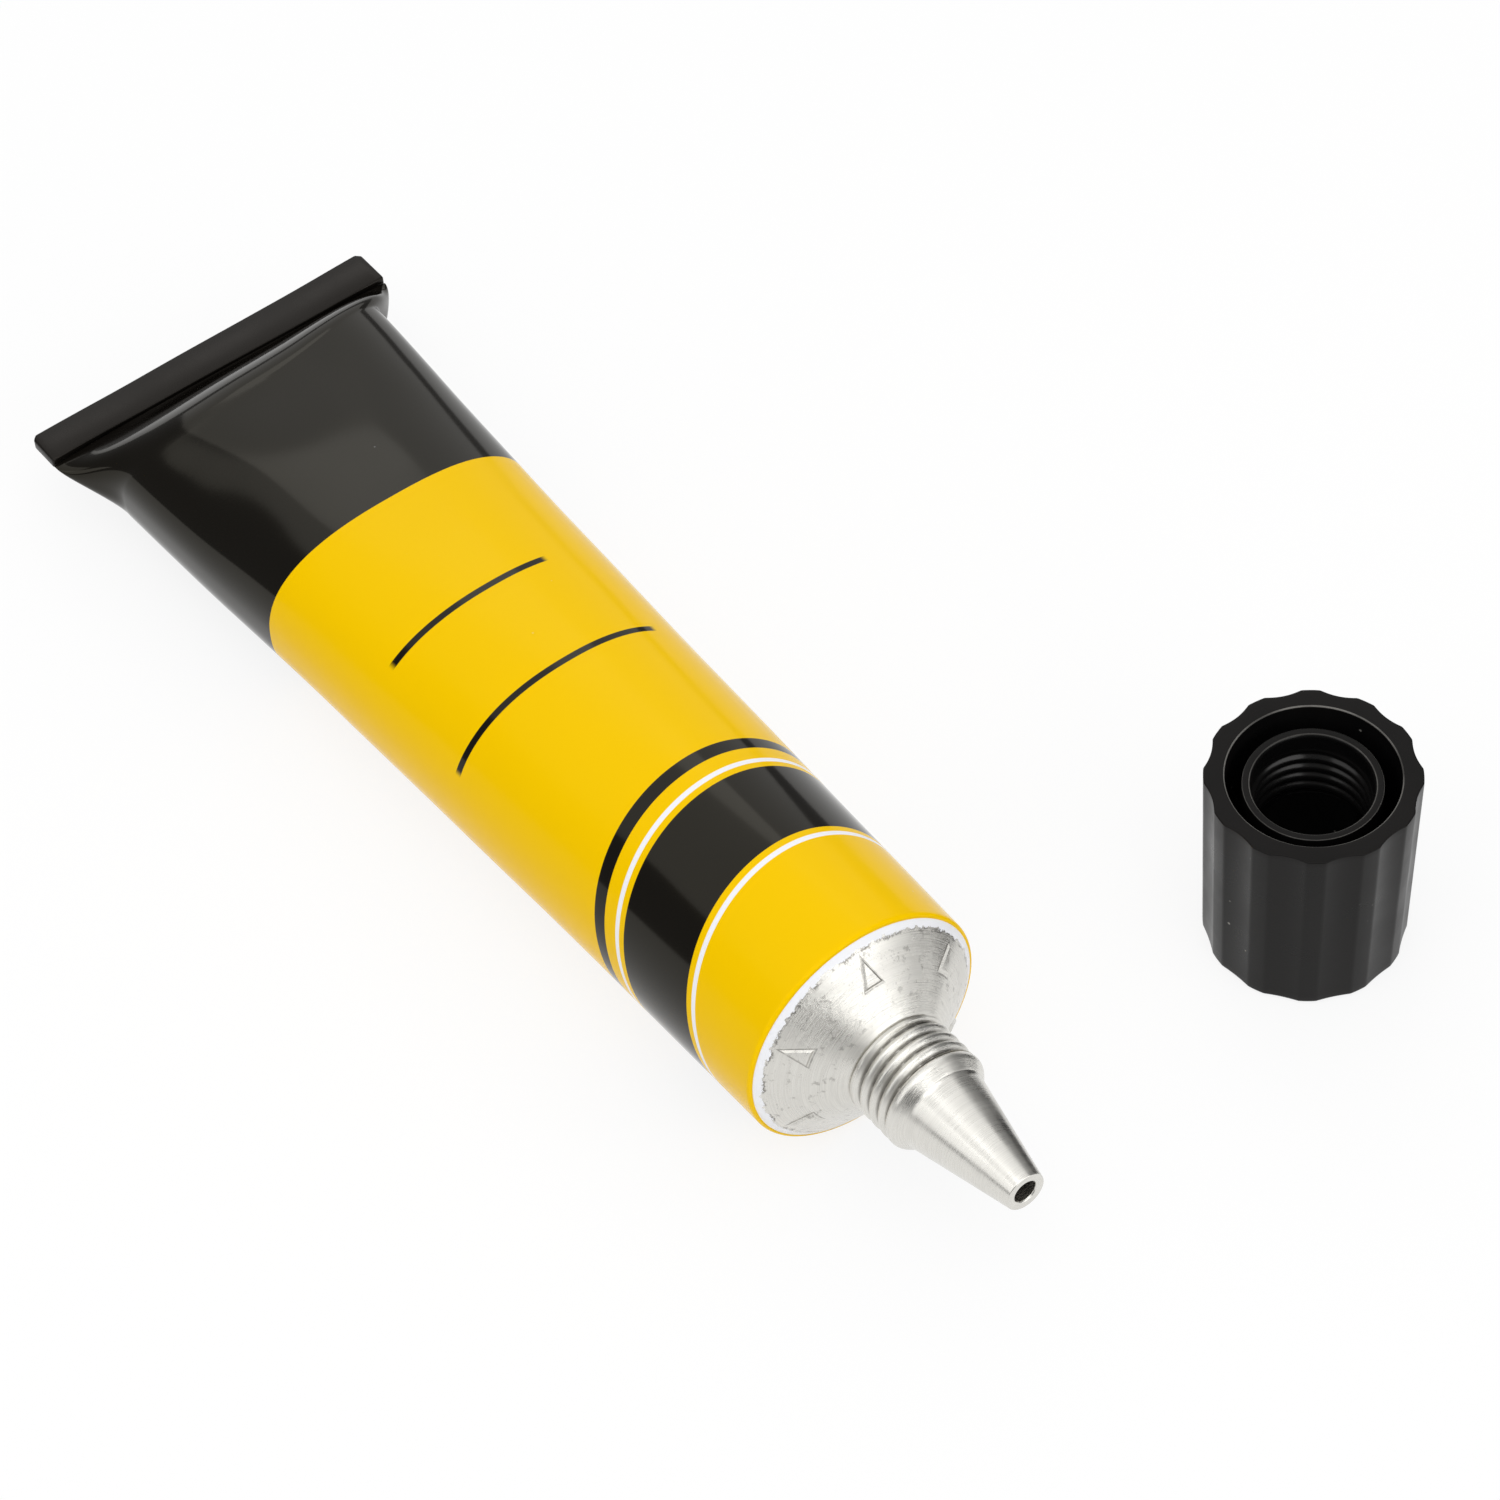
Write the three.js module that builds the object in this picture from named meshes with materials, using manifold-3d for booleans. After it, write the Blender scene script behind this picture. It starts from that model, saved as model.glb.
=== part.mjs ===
// Collapsible glue tube lying on its side, with its screw cap standing beside it, mouth up.
// Millimetres, +Z up. The tube's nozzle points along +X and the cap stands on the +Y side.

import * as THREE from 'three';
import { mergeVertices } from 'three/addons/utils/BufferGeometryUtils.js';
import Module from 'manifold-3d';

const wasm = await Module();
wasm.setup();

// Tube sleeve
const tubeRadius = 12.5;       // outside, at the shoulder
const sleeveWall = 0.15;
const bodyLength = 98;         // shoulder edge to the start of the crushed stretch
const crushLength = 5.2;       // crushed stretch between the body and the fold, at the middle
const crushSkew = 0.35;        // share by which it is longer on the -Y side and shorter on the +Y side
const topCrush = 0.55;         // share by which it is longer along the middle of the top
const spreadPower = 1.5;       // how late the crushed stretch spreads to the fold's width
const spreadSkew = 0.4;        // share by which it spreads later on the -Y side and earlier on the +Y side
const bodySpread = 3.7;        // growth of the half width over the body, as the sleeve flattens
const tailSag = 0.3;           // how far the flattened end hangs below the tube's axis
const tailSquareness = 2.7;    // power of the body's section at the tail; a round section has 2
const lipHalfHeight = 0.6;     // half height of the flat lip that meets the fold
const foldRise = 1.3;          // height of the fold's mid plane above the tube's axis

// Tail fold and the sealing strip inside it
const foldDepth = 4;           // along the tube
const hemThickness = 0.8;      // folded layers above the mid plane
const underThickness = 0.4;    // layer below the mid plane
const edgeRoll = 0.2;          // width lost at each end of the fold
const hemCorner = 0.3;         // rounding of the fold's outer edge
const sealThickness = 0.3;
const sealDepth = 3;           // length of the strip inside the fold
const sealReach = 1;           // length of the strip inside the sleeve's lip
const sealMargin = 3;          // from each end of the fold to the strip

// Shoulder, neck and nozzle, with stations measured from the shoulder edge
const edgeRadius = 0.4;        // rounding of the shoulder edge
const shoulderHeight = 5;      // from the shoulder edge to the end of the cone
const collarRadius = 5.8;      // where the cone meets the neck's fillet
const neckRoot = 4.9;          // neck radius between the threads
const neckLength = 5.4;        // threaded length
const filletLength = 0.6;
const frontChamfer = 1.35;     // bevel from the last thread to the nozzle
const nozzleBase = 4.42;
const nozzleTip = 2;
const nozzleLength = 11.65;
const nozzleBore = 1.15;
const neckBore = 3.4;
const shoulderWall = 0.8;
const boreTaper = 2;           // length over which the neck's bore narrows to the nozzle's

// Screw thread, shared by neck and cap
const threadPitch = 1.3;
const threadDepth = 0.42;
const threadBase = 0.95;
const threadCrest = 0.35;
const neckTurns = 3.4;
const capTurns = 4.2;
const threadClearance = 0.25;
const threadSink = 0.2;        // how far a ridge is rooted in its wall

// Cap
const capHeight = 21.8;
const capRimRadius = 9.9;      // over the lands, at the mouth
const capDraft = 0.5;          // how much smaller the closed end is
const capBevel = 0.4;
const fluteCount = 12;
const fluteDepth = 0.4;
const fluteWidth = 20;         // degrees
const fluteTurn = 6.8;         // degrees, places the first flute
const skirtBore = 7.95;
const skirtDraft = 0.3;
const capEndWall = 1.2;
const lipRecess = 1.2;         // inner sleeve's lip below the rim
const lipRound = 0.3;
const innerWall = 0.85;
const threadLead = 2;          // smooth entry above the cap's thread

// Liner and glue
const linerThickness = 0.8;
const linerClearance = 0.45;
const linerGap = 0.15;
const fitGap = 0.3;            // between pieces that meet

// Where the cap stands, from the centre of the shoulder edge
const capAhead = 8.5;
const capAside = 44.8;

// Facets
const sleeveSegments = 48;
const turnSegments = 40;
const fluteSamples = [-0.3, 0, 0.3];   // across a flute, as shares of its width

const yellowLacquer = new THREE.MeshStandardMaterial({ color: 0xf2c500, roughness: 0.3, metalness: 0 });
const blackLacquer = new THREE.MeshStandardMaterial({ color: 0x24211e, roughness: 0.35, metalness: 0 });
const bareAluminium = new THREE.MeshStandardMaterial({ color: 0xd5d5d2, roughness: 0.35, metalness: 1 });
const blackPlastic = new THREE.MeshStandardMaterial({ color: 0x1c1c1c, roughness: 0.55, metalness: 0 });
const linerFoam = new THREE.MeshStandardMaterial({ color: 0xe6e4dc, roughness: 0.8, metalness: 0 });
const sealCompound = new THREE.MeshStandardMaterial({ color: 0xc9b48a, roughness: 0.7, metalness: 0 });
const clearGlue = new THREE.MeshStandardMaterial({ color: 0xe9dfbd, roughness: 0.2, metalness: 0 });

const TAU = 2 * Math.PI;

// Faces of a closed body point out when its signed volume is positive
function pointOut(positions, index) {
  const a = new THREE.Vector3();
  const b = new THREE.Vector3();
  const c = new THREE.Vector3();
  let volume = 0;
  for (let i = 0; i < index.length; i += 3) {
    a.fromArray(positions, 3 * index[i]);
    b.fromArray(positions, 3 * index[i + 1]);
    c.fromArray(positions, 3 * index[i + 2]);
    volume += a.dot(b.cross(c));
  }
  if (volume > 0) return index;
  const turned = [];
  for (let i = 0; i < index.length; i += 3) turned.push(index[i], index[i + 2], index[i + 1]);
  return turned;
}

function bodyFrom(positions, index) {
  const geometry = new THREE.BufferGeometry();
  geometry.setAttribute('position', new THREE.Float32BufferAttribute(positions, 3));
  geometry.setIndex(pointOut(positions, index));
  return geometry;
}

// Skin over rings of points. The last ring meets the first one, or each end is closed to its middle.
function skin(rings, meetsItself) {
  const size = rings[0].length;
  const positions = rings.flat().flatMap((point) => point.toArray());
  const index = [];
  const joins = meetsItself ? rings.length : rings.length - 1;
  for (let r = 0; r < joins; r += 1) {
    const here = r * size;
    const next = ((r + 1) % rings.length) * size;
    for (let k = 0; k < size; k += 1) {
      const after = (k + 1) % size;
      index.push(here + k, here + after, next + after, here + k, next + after, next + k);
    }
  }
  if (!meetsItself) {
    for (const end of [0, rings.length - 1]) {
      const middle = new THREE.Vector3();
      rings[end].forEach((point) => middle.addScaledVector(point, 1 / size));
      const pole = positions.length / 3;
      positions.push(...middle.toArray());
      for (let k = 0; k < size; k += 1) {
        const from = end * size + k;
        const to = end * size + ((k + 1) % size);
        index.push(...(end === 0 ? [pole, to, from] : [pole, from, to]));
      }
    }
  }
  return bodyFrom(positions, index);
}

// Body of revolution about +Z from a closed outline of [radius, height] points
function turned(outline, segments) {
  const points = [...outline, outline[0]].map(([radius, height]) => new THREE.Vector2(radius, height));
  const lathe = new THREE.LatheGeometry(points, segments);
  lathe.deleteAttribute('normal');
  lathe.deleteAttribute('uv');
  const merged = mergeVertices(lathe, 1e-4);
  merged.rotateX(Math.PI / 2);
  return bodyFrom(Array.from(merged.attributes.position.array), Array.from(merged.index.array));
}

function solidOf(geometry) {
  const vertProperties = new Float32Array(geometry.attributes.position.array);
  const triVerts = new Uint32Array(geometry.index.array);
  return new wasm.Manifold(new wasm.Mesh({ numProp: 3, vertProperties, triVerts }));
}

function geometryOf(solid) {
  const mesh = solid.getMesh();
  const positions = [];
  for (let i = 0; i < mesh.vertProperties.length; i += mesh.numProp) {
    positions.push(...mesh.vertProperties.slice(i, i + 3));
  }
  return bodyFrom(positions, Array.from(mesh.triVerts));
}

function piece(name, geometry, material) {
  const mesh = new THREE.Mesh(geometry, material);
  mesh.name = name;
  return mesh;
}

// Helical ridge about +Z, right-handed, standing out of (side 1) or into (side -1) a round wall.
// It rises from the wall over the first half turn and sinks back over the last.
function ridge({ wall, side, start, turns }) {
  const steps = Math.round(turns * turnSegments);
  const rings = [];
  for (let i = 0; i <= steps; i += 1) {
    const turn = i / turnSegments;
    const fade = Math.min(1, 2 * turn, 2 * (turns - turn));
    const rise = threadDepth * fade - 0.5 * threadSink * (1 - fade);
    const height = start + threadPitch * turn;
    const foot = wall - side * threadSink;
    const top = wall + side * rise;
    const section = [
      [foot, -threadBase / 2],
      [top, -threadCrest / 2],
      [top, threadCrest / 2],
      [foot, threadBase / 2],
    ];
    const angle = TAU * turn;
    rings.push(section.map(([radius, offset]) =>
      new THREE.Vector3(radius * Math.cos(angle), radius * Math.sin(angle), height + offset)));
  }
  return skin(rings, false);
}

// Length round a section of given half width, half height and squareness
function girthOf(halfWidth, halfHeight, squareness) {
  const steps = 60;
  const power = 2 / squareness;
  let length = 0;
  let lastY = halfWidth;
  let lastZ = 0;
  for (let i = 1; i <= steps; i += 1) {
    const angle = (Math.PI / 2) * (i / steps);
    const y = halfWidth * Math.max(0, Math.cos(angle)) ** power;
    const z = halfHeight * Math.sin(angle) ** power;
    length += Math.hypot(y - lastY, z - lastZ);
    lastY = y;
    lastZ = z;
  }
  return 4 * length;
}

const sleeveGirth = girthOf(tubeRadius, tubeRadius, 2);

// Half height that keeps the sleeve's girth at a given half width, because the sheet doesn't stretch
function halfHeightAt(halfWidth, squareness) {
  let low = 0;
  let high = 2 * tubeRadius;
  for (let i = 0; i < 40; i += 1) {
    const height = (low + high) / 2;
    if (girthOf(halfWidth, height, squareness) < sleeveGirth) low = height;
    else high = height;
  }
  return (low + high) / 2;
}

const flatHalfWidth = (Math.PI * tubeRadius) / 2 - edgeRoll;
const sleeveLength = bodyLength + crushLength;
const tailHalfHeight = halfHeightAt(tubeRadius + bodySpread, tailSquareness);
const laySlope = (tubeRadius - tailHalfHeight - tailSag) / bodyLength;
const layAngle = Math.atan(laySlope);

// Section of the body at a distance behind the shoulder edge. Its underside runs straight.
function bodySection(back) {
  const along = back / bodyLength;
  const halfWidth = tubeRadius + bodySpread * (0.6 * along + 0.4 * along ** 2);
  const squareness = 2 + (tailSquareness - 2) * along ** 1.5;
  const below = tubeRadius - back * laySlope;
  const above = 2 * halfHeightAt(halfWidth, squareness) - below;
  return { halfWidth, squareness, above, below };
}

// Point on the sleeve, set in from its outside by a wall thickness. Behind the body, the section
// spreads to the fold's width and falls to the height of the flat lip.
function sleevePoint(back, angle, inset) {
  const side = Math.cos(angle);
  const top = Math.sin(angle);
  const crush = crushLength * (1 - crushSkew * side) * (1 + topCrush * Math.max(0, top) ** 1.5);
  const start = sleeveLength - crush;
  const body = bodySection(Math.min(back, start));
  const along = Math.max(0, (back - start) / crush);
  const fall = Math.max(0, 1 - along ** 2.2) ** 1.6;
  const spread = Math.sin((Math.PI / 2) * along) ** (spreadPower * (1 - spreadSkew * side));
  const halfWidth = body.halfWidth + (flatHalfWidth - body.halfWidth) * spread;
  const bodyHeight = top > 0 ? body.above : body.below;
  const height = lipHalfHeight + (bodyHeight - lipHalfHeight) * fall;
  const power = 2 / (body.squareness + (2 - body.squareness) * along);
  const y = Math.sign(side) * (halfWidth - inset) * Math.abs(side) ** power;
  const z = Math.sign(top) * (height - inset) * Math.abs(top) ** power + foldRise * (1 - fall);
  return new THREE.Vector3(-back, y, z);
}

function sleeveRing(back, inset) {
  const ring = [];
  for (let k = 0; k < sleeveSegments; k += 1) ring.push(sleevePoint(back, (TAU * k) / sleeveSegments, inset));
  return ring;
}

const crushReach = crushLength * (1 + crushSkew) * (1 + topCrush);
const crushFrom = sleeveLength - crushReach;
const bodyStations = [0, 0.12, 0.24, 0.36, 0.5, 0.64, 0.78, 0.9]
  .map((share) => fitGap + share * (crushFrom - fitGap));
const crushStations = [0, 0.13, 0.26, 0.37, 0.47, 0.56, 0.64, 0.71, 0.78, 0.84, 0.89, 0.94, 0.975, 1]
  .map((share) => crushFrom + share * crushReach);

function makeSleeve() {
  const stations = [...bodyStations, ...crushStations];
  const outside = stations.map((back) => sleeveRing(back, 0));
  const inside = stations.map((back) => sleeveRing(back, sleeveWall)).reverse();
  return piece('tube_sleeve', skin([...outside, ...inside], true), yellowLacquer);
}

// Stations along the head
const neckStart = shoulderHeight + filletLength;
const neckEnd = neckStart + neckLength;
const nozzleStart = neckEnd + frontChamfer;
const nozzleEnd = nozzleStart + nozzleLength;
const threadRadius = neckRoot + threadDepth;

function makeHead() {
  const rim = [];
  const rimSteps = 4;
  const coneTurn = Math.atan2(shoulderHeight - edgeRadius, tubeRadius - edgeRadius - collarRadius);
  for (let i = 0; i <= rimSteps; i += 1) {
    const angle = (i / rimSteps) * (Math.PI / 2 - coneTurn);
    rim.push([tubeRadius - edgeRadius + edgeRadius * Math.cos(angle), edgeRadius * Math.sin(angle)]);
  }
  const filletSteps = 4;
  const fillet = [];
  for (let i = 0; i <= filletSteps; i += 1) {
    const angle = (i / filletSteps) * (Math.PI / 2);
    const radius = collarRadius - (collarRadius - neckRoot) * Math.sin(angle);
    fillet.push([radius, neckStart - filletLength * Math.cos(angle)]);
  }
  const outline = [
    ...rim,
    ...fillet,
    [neckRoot, neckEnd - threadBase],
    [threadRadius, neckEnd - threadCrest],
    [threadRadius, neckEnd],
    [nozzleBase, nozzleStart],
    [nozzleTip, nozzleEnd],
    [nozzleBore, nozzleEnd],
    [nozzleBore, neckEnd + boreTaper],
    [neckBore, neckEnd],
    [neckBore, shoulderHeight - shoulderWall],
    [tubeRadius - edgeRadius - shoulderWall, 0],
  ];
  const body = solidOf(turned(outline, turnSegments));
  const thread = solidOf(ridge({
    wall: neckRoot,
    side: 1,
    start: neckEnd - threadBase - neckTurns * threadPitch,
    turns: neckTurns,
  }));
  const head = geometryOf(body.add(thread));
  head.rotateY(Math.PI / 2);
  return piece('tube_head', head, bareAluminium);
}

// Fold, drawn in section along the tube and carried across its full width
function makeFold() {
  const slot = sealThickness / 2 + fitGap / 3;
  const outer = foldDepth;
  const shape = new THREE.Shape();
  shape.moveTo(0, slot);
  shape.lineTo(0, hemThickness);
  shape.lineTo(outer - hemCorner, hemThickness);
  shape.absarc(outer - hemCorner, hemThickness - hemCorner, hemCorner, Math.PI / 2, 0, true);
  shape.lineTo(outer, -underThickness);
  shape.lineTo(0, -underThickness);
  shape.lineTo(0, -slot);
  shape.lineTo(sealDepth + fitGap / 3, -slot);
  shape.lineTo(sealDepth + fitGap / 3, slot);
  shape.closePath();
  const extruded = new THREE.ExtrudeGeometry(shape, {
    depth: 2 * flatHalfWidth,
    bevelEnabled: false,
    curveSegments: 4,
  });
  extruded.deleteAttribute('normal');
  extruded.deleteAttribute('uv');
  const merged = mergeVertices(extruded, 1e-4);
  const geometry = bodyFrom(Array.from(merged.attributes.position.array), Array.from(merged.index.array));
  geometry.translate(0, 0, -flatHalfWidth);
  geometry.rotateX(Math.PI / 2);
  geometry.rotateZ(Math.PI);
  const fold = piece('tail_fold', geometry, blackLacquer);
  fold.position.set(-sleeveLength - fitGap, 0, foldRise);
  return fold;
}

function makeSeal() {
  const length = sealDepth + fitGap + sealReach;
  const width = 2 * (flatHalfWidth - sealMargin);
  const strip = piece('tail_seal_strip', new THREE.BoxGeometry(length, width, sealThickness), sealCompound);
  strip.position.set(-sleeveLength + sealReach - length / 2, 0, foldRise);
  return strip;
}

// Glue: fills the sleeve up to the seal and the head up to the top of the neck, clear of their walls
function makeGlue() {
  const inset = sleeveWall + fitGap;
  const stations = [...bodyStations, ...crushStations].filter((back) => back < sleeveLength - sealReach - fitGap);
  const rings = stations.reverse().map((back) => sleeveRing(back, inset));
  const front = [
    [tubeRadius - edgeRadius - shoulderWall - fitGap, 0],
    [neckBore - fitGap, shoulderHeight - shoulderWall - fitGap],
    [neckBore - fitGap, neckEnd - fitGap],
  ];
  for (const [radius, ahead] of front) {
    const ring = [];
    for (let k = 0; k < sleeveSegments; k += 1) {
      const angle = (TAU * k) / sleeveSegments;
      ring.push(new THREE.Vector3(ahead, radius * Math.cos(angle), radius * Math.sin(angle)));
    }
    rings.push(ring);
  }
  return piece('glue_fill', skin(rings, false), clearGlue);
}

// Outline of the cap at a height: round lands with shallow flutes between them
function flutedRing(landRadius, z) {
  const ring = [];
  const pitch = 360 / fluteCount;
  for (let f = 0; f < fluteCount; f += 1) {
    const middle = fluteTurn + f * pitch;
    const edge = fluteWidth / 2;
    const samples = [-edge, ...fluteSamples.map((share) => share * fluteWidth), edge];
    for (const offset of samples) {
      const radius = landRadius - fluteDepth * (1 - (offset / edge) ** 2);
      const angle = THREE.MathUtils.degToRad(middle + offset);
      ring.push(new THREE.Vector3(radius * Math.cos(angle), radius * Math.sin(angle), z));
    }
  }
  return ring;
}

function roundRing(like, radius, z) {
  return like.map((point) => {
    const angle = Math.atan2(point.y, point.x);
    return new THREE.Vector3(radius * Math.cos(angle), radius * Math.sin(angle), z);
  });
}

const capThreadWall = threadRadius + threadClearance;
const innerTop = capHeight - lipRecess;

function makeCap() {
  const baseRadius = capRimRadius - capDraft;
  const rim = flutedRing(capRimRadius, capHeight);
  const cup = solidOf(skin([
    flutedRing(baseRadius - capBevel, 0),
    flutedRing(baseRadius, capBevel),
    rim,
    roundRing(rim, skirtBore, capHeight),
    roundRing(rim, skirtBore - skirtDraft, capEndWall),
  ], false));
  const innerRadius = capThreadWall + innerWall;
  const innerSleeve = solidOf(turned([
    [capThreadWall, capEndWall / 2],
    [innerRadius, capEndWall / 2],
    [innerRadius, innerTop - lipRound],
    [innerRadius - lipRound, innerTop],
    [capThreadWall + lipRound, innerTop],
    [capThreadWall, innerTop - lipRound],
  ], turnSegments));
  const thread = solidOf(ridge({
    wall: capThreadWall,
    side: -1,
    start: innerTop - threadLead - capTurns * threadPitch,
    turns: capTurns,
  }));
  return piece('cap_shell', geometryOf(cup.add(innerSleeve).add(thread)), blackPlastic);
}

function makeLiner() {
  const radius = capThreadWall - threadDepth - linerClearance + threadClearance;
  const disc = new THREE.CylinderGeometry(radius, radius, linerThickness, turnSegments);
  disc.deleteAttribute('normal');
  disc.deleteAttribute('uv');
  const merged = mergeVertices(disc, 1e-4);
  merged.rotateX(Math.PI / 2);
  merged.translate(0, 0, capEndWall + linerGap + linerThickness / 2);
  const geometry = bodyFrom(Array.from(merged.attributes.position.array), Array.from(merged.index.array));
  return piece('cap_liner', geometry, linerFoam);
}

// The tube lies on the straight underside of its sleeve, nozzle end raised
const tube = new THREE.Group();
tube.add(makeSleeve(), makeHead(), makeFold(), makeSeal(), makeGlue());
tube.rotation.y = -layAngle;
tube.position.z = tubeRadius * Math.cos(layAngle);

const cap = new THREE.Group();
cap.add(makeCap(), makeLiner());
cap.position.set(capAhead, capAside, 0);

// The origin is under the middle of the whole object, on the surface that it stands on
const object = new THREE.Group();
object.add(tube, cap);
const box = new THREE.Box3().setFromObject(object, true);
const middle = box.getCenter(new THREE.Vector3());
object.position.set(-middle.x, -middle.y, -box.min.z);

export default object;
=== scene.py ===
import bpy
import bmesh
import math
from mathutils import Matrix, Vector, noise


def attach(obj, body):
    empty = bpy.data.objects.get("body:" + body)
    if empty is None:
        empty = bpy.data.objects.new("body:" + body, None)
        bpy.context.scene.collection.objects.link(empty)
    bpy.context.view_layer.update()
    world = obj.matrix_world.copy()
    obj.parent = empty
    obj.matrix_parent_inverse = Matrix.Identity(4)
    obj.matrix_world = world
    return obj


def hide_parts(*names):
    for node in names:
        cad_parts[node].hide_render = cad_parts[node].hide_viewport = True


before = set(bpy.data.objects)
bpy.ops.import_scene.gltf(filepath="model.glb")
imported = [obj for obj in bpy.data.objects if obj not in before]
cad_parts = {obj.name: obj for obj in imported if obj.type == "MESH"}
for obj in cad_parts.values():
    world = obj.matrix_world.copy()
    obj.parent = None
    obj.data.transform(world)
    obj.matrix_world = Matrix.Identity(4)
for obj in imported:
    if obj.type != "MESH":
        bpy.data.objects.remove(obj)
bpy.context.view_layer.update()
scene = bpy.context.scene
scene.view_settings.view_transform = "Standard"

mm = 0.001
turn = 2 * math.pi

# where the tube lies: shoulder centre over the table, nozzle end raised a little
tubeSpot = {"x": 41.681, "y": -17.625, "radius": 12.5, "tilt": math.radians(3.15)}
tubePlace = (Matrix.Translation((tubeSpot["x"], tubeSpot["y"], tubeSpot["radius"] * math.cos(tubeSpot["tilt"])))
             @ Matrix.Rotation(-tubeSpot["tilt"], 4, "Y"))
capSpot = {"x": 50.181, "y": 27.175}
capPlace = Matrix.Translation((capSpot["x"], capSpot["y"], 0))


# tools for meshes
def smoothStep(low, high, value):
    t = min(1, max(0, (value - low) / (high - low)))
    return t * t * (3 - 2 * t)


def softLine(points, step, cornerCuts=6):
    # points are (a, b) or (a, b, corner radius); gives a line with rounded corners and a point at least every step
    rounded = []
    for i, p in enumerate(points):
        here = Vector(p[:2])
        if len(p) < 3 or i in (0, len(points) - 1):
            rounded.append(here)
            continue
        before, after = Vector(points[i - 1][:2]) - here, Vector(points[i + 1][:2]) - here
        reach = min(p[2], 0.49 * before.length, 0.49 * after.length)
        start, end = here + before.normalized() * reach, here + after.normalized() * reach
        for k in range(cornerCuts + 1):
            t = k / cornerCuts
            rounded.append(start * (1 - t) ** 2 + here * 2 * t * (1 - t) + end * t ** 2)
    line = [rounded[0]]
    for p in rounded[1:]:
        span = (p - line[-1]).length
        if span < 1e-6:
            continue
        start = line[-1]
        cuts = max(1, math.ceil(span / step))
        line += [start.lerp(p, (k + 1) / cuts) for k in range(cuts)]
    return line


def spinLine(bm, points, axis, steps, closed=False, sectors=12):
    # turns a line of points through one sector round an axis, then copies the sector round
    verts = [bm.verts.new(p) for p in points]
    edges = [bm.edges.new(pair) for pair in zip(verts, verts[1:])]
    if closed:
        edges.append(bm.edges.new((verts[-1], verts[0])))
    bmesh.ops.spin(bm, geom=verts + edges, cent=(0, 0, 0), axis=axis, dvec=(0, 0, 0), angle=turn / sectors,
                   steps=steps // sectors)
    bmesh.ops.spin(bm, geom=bm.verts[:] + bm.edges[:] + bm.faces[:], cent=(0, 0, 0), axis=axis, dvec=(0, 0, 0),
                   angle=turn * (sectors - 1) / sectors, steps=sectors - 1, use_duplicate=True)
    bmesh.ops.remove_doubles(bm, verts=bm.verts, dist=1e-4)


def makePiece(name, bm, place, material, body, nodes, sharp=None):
    bmesh.ops.recalc_face_normals(bm, faces=bm.faces)
    bmesh.ops.transform(bm, matrix=Matrix.Scale(mm, 4) @ place, verts=bm.verts)
    for face in bm.faces:
        face.smooth = True
    if sharp:
        for edge in bm.edges:
            edge.smooth = len(edge.link_faces) != 2 or edge.calc_face_angle(0) < sharp
    mesh = bpy.data.meshes.new(name)
    bm.to_mesh(mesh)
    bm.free()
    piece = bpy.data.objects.new(name, mesh)
    scene.collection.objects.link(piece)
    mesh.materials.append(material)
    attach(piece, body)
    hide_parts(*nodes)
    print("piece", name, len(mesh.polygons), "faces")
    return piece


# tools for materials
def addNode(tree, kind, inputs=None, **settings):
    made = tree.nodes.new(kind)
    for key, value in settings.items():
        setattr(made, key, value)
    for key, value in (inputs or {}).items():
        if isinstance(value, bpy.types.NodeSocket):
            tree.links.new(value, made.inputs[key])
        else:
            made.inputs[key].default_value = value
    return made


def calc(tree, operation, a, b=0.0, c=0.0):
    return addNode(tree, "ShaderNodeMath", {0: a, 1: b, 2: c}, operation=operation).outputs[0]


def ramp(tree, value, low, high, toLow=0.0, toHigh=1.0, smooth=True):
    # value from low..high to toLow..toHigh, held beyond the ends
    kind = "SMOOTHSTEP" if smooth else "LINEAR"
    return addNode(tree, "ShaderNodeMapRange",
                   {"Value": value, "From Min": low, "From Max": high, "To Min": toLow, "To Max": toHigh},
                   interpolation_type=kind).outputs["Result"]


def mixColour(tree, factor, a, b):
    return addNode(tree, "ShaderNodeMix", {"Factor": factor, 6: a, 7: b}, data_type="RGBA").outputs[2]


def newGroup(name, takes, gives):
    group = bpy.data.node_groups.new(name, "ShaderNodeTree")
    for label, start in takes.items():
        socket = group.interface.new_socket(label, in_out="INPUT", socket_type="NodeSocketFloat")
        socket.default_value = start
    for label in gives:
        group.interface.new_socket(label, in_out="OUTPUT", socket_type="NodeSocketFloat")
    return group, group.nodes.new("NodeGroupInput"), group.nodes.new("NodeGroupOutput")


def useGroup(tree, group, values=None):
    return addNode(tree, "ShaderNodeGroup", values, node_tree=group)


def newMaterial(name, **fixed):
    material = bpy.data.materials.new(name)
    material.use_nodes = True
    tree = material.node_tree
    shader = tree.nodes["Principled BSDF"]
    for key, value in fixed.items():
        shader.inputs[key].default_value = value
    return material, tree, shader


def addBump(tree, shader, strength, depth, height):
    # depth in mm
    bump = addNode(tree, "ShaderNodeBump", {"Strength": strength, "Distance": depth * mm, "Height": height})
    tree.links.new(bump.outputs["Normal"], shader.inputs["Normal"])


def patchy(tree, skin, low, high):
    # a value that drifts between low and high with the slow patches of the skin
    return ramp(tree, skin.outputs["Patches"], 0.3, 0.7, low, high)


def rgb(r, g, b):
    # colour as read off a screen, 0 to 255
    def straight(v):
        v = v / 255
        return v / 12.92 if v <= 0.04045 else ((v + 0.055) / 1.055) ** 2.4
    return (straight(r), straight(g), straight(b), 1)


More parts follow.
